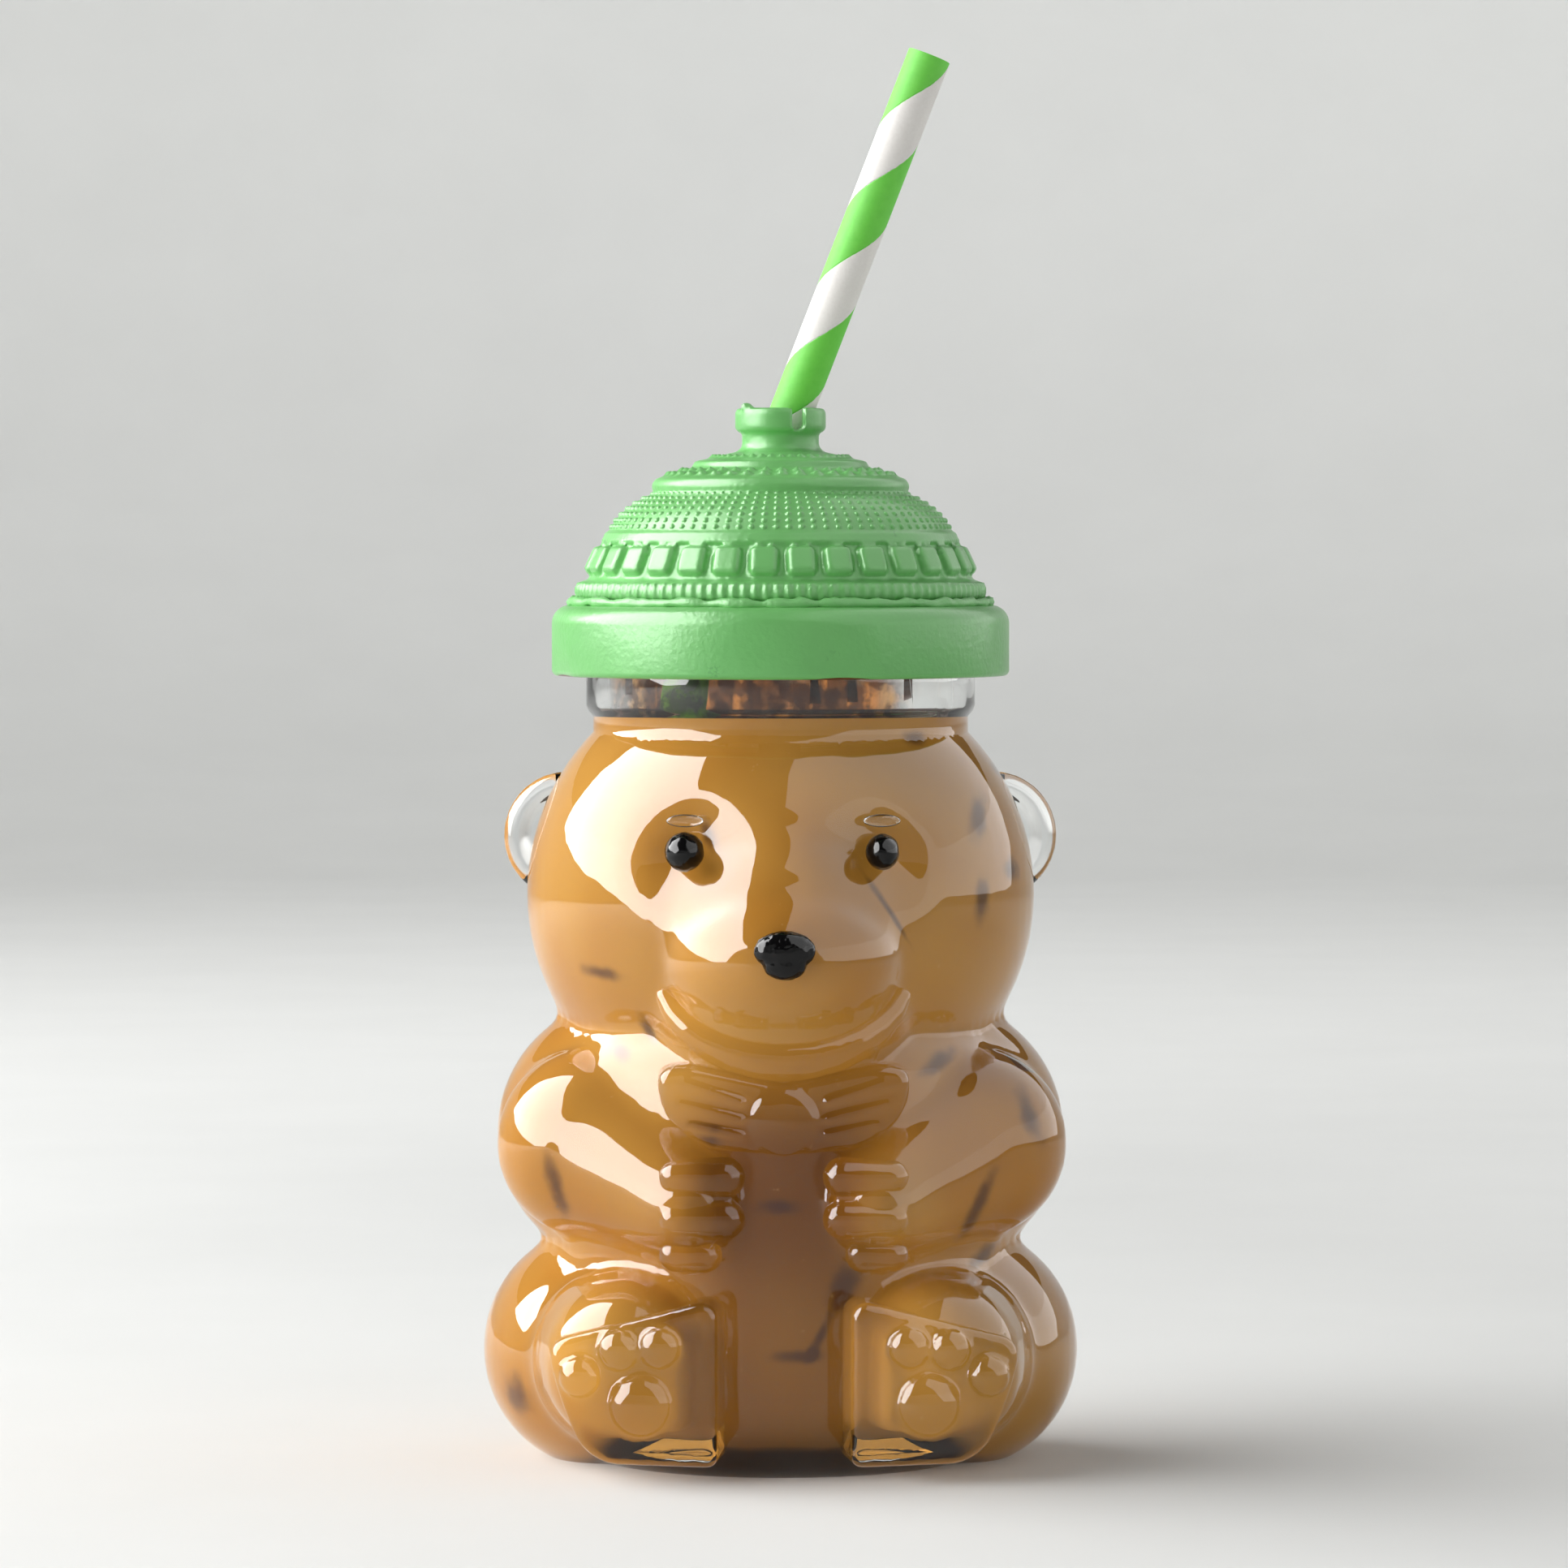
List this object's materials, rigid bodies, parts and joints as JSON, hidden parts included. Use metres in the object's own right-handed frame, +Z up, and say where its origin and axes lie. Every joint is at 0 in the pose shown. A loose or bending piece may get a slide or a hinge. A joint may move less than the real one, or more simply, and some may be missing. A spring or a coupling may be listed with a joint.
{
  "type": "bear-shaped glass jar",
  "caption": "Clear glass drinking jar shaped as a sitting bear, filled with iced milk coffee, with a painted twist lid, an ornamental dome and a leaning paper straw.",
  "frame": {"origin": "middle of the flat glass base, on the axis of the jar's neck, at table level", "axes": "+Z up along the neck and lid axis, -Y is the bear's front, +X is to the right as seen from the front"},
  "size_m": [0.0856, 0.0818, 0.2018],
  "materials": {
    "clear_glass": "clear pressed glass, glossy",
    "milk_coffee": "milky caramel-coloured drink",
    "ice": "clear ice, wet with coffee",
    "black_enamel": "glossy black enamel",
    "green_lid_paint": "satin green sprayed paint on tinplate",
    "green_hat_paint": "satin green sprayed paint on a moulding",
    "glue": "uneven glue line, painted over",
    "seal": "soft pale sealing compound",
    "striped_paper": "rolled paper with green and white spiral bands"
  },
  "bodies": {
    "jar": {"glass_jar": "clear_glass", "drink": "milk_coffee", "ice_cube_1": "ice", "ice_cube_2": "ice", "ice_cube_3": "ice", "ice_cube_4": "ice", "ice_cube_5": "ice", "ice_cube_6": "ice", "ice_cube_7": "ice", "left_eye": "black_enamel", "right_eye": "black_enamel", "nose": "black_enamel"},
    "seal_ring": {"lid_seal": "seal"},
    "lid": {"lid_shell": "green_lid_paint", "dome_hat": "green_hat_paint", "straw_collar": "green_hat_paint", "glue_bead": "glue"},
    "straw": {"straw": "striped_paper"}
  },
  "joints": [
    {"name": "lid_lift", "type": "slide", "parent": "jar", "child": "seal_ring", "axis": [0, 0, 1], "range_m": [0, 0.0109]},
    {"name": "lid_twist", "type": "hinge", "parent": "seal_ring", "child": "lid", "pos_m": [0, 0, 0.1217], "axis": [0, 0, 1], "range_deg": [0, 270]},
    {"name": "straw_pull", "type": "slide", "parent": "seal_ring", "child": "straw", "axis": [0.3616, 0, 0.9323], "range_m": [0, 0.09]}
  ],
  "couplings": [
    {"joint": "lid_lift", "follows": "lid_twist", "m_per_rad": 0.0023077}
  ]
}
